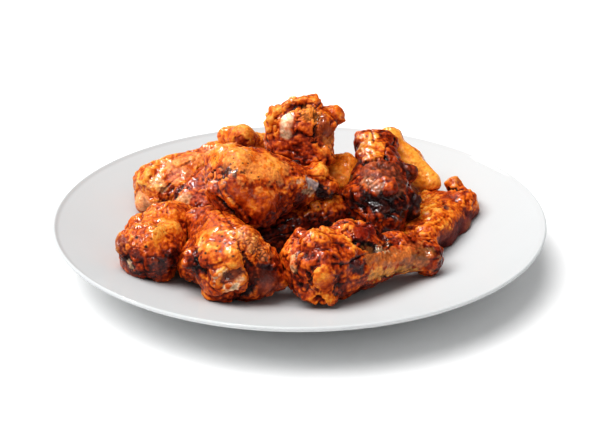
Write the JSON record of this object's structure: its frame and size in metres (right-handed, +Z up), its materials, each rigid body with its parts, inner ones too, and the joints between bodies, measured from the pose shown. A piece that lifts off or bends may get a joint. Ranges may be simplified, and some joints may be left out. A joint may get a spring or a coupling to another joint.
{
  "type": "chicken wings serving",
  "caption": "Glazed roast chicken wings, drumettes and flats with bone ends and browned skin, heaped on a round white coupe plate to serve as a main or side.",
  "frame": {"origin": "centre of the plate's foot, on the surface that it stands on", "axes": "+Z up, -Y towards the diner"},
  "size_m": [0.27, 0.27, 0.0875],
  "materials": {
    "porcelain": "glossy white glaze",
    "golden_skin": null,
    "sauced_skin": null,
    "charred_skin": null
  },
  "bodies": {
    "root": {"plate": "porcelain", "wing_front_right": "sauced_skin", "wing_front_middle": "golden_skin", "wing_front_left": "sauced_skin", "wing_right": "golden_skin", "wing_centre_low": "charred_skin", "wing_left_back": "golden_skin", "wing_left_low": "sauced_skin", "wing_middle": "golden_skin", "wing_right_back": "golden_skin", "wing_back": "golden_skin", "wing_dark": "charred_skin", "wing_centre": "golden_skin", "wing_top": "sauced_skin"}
  },
  "joints": []
}
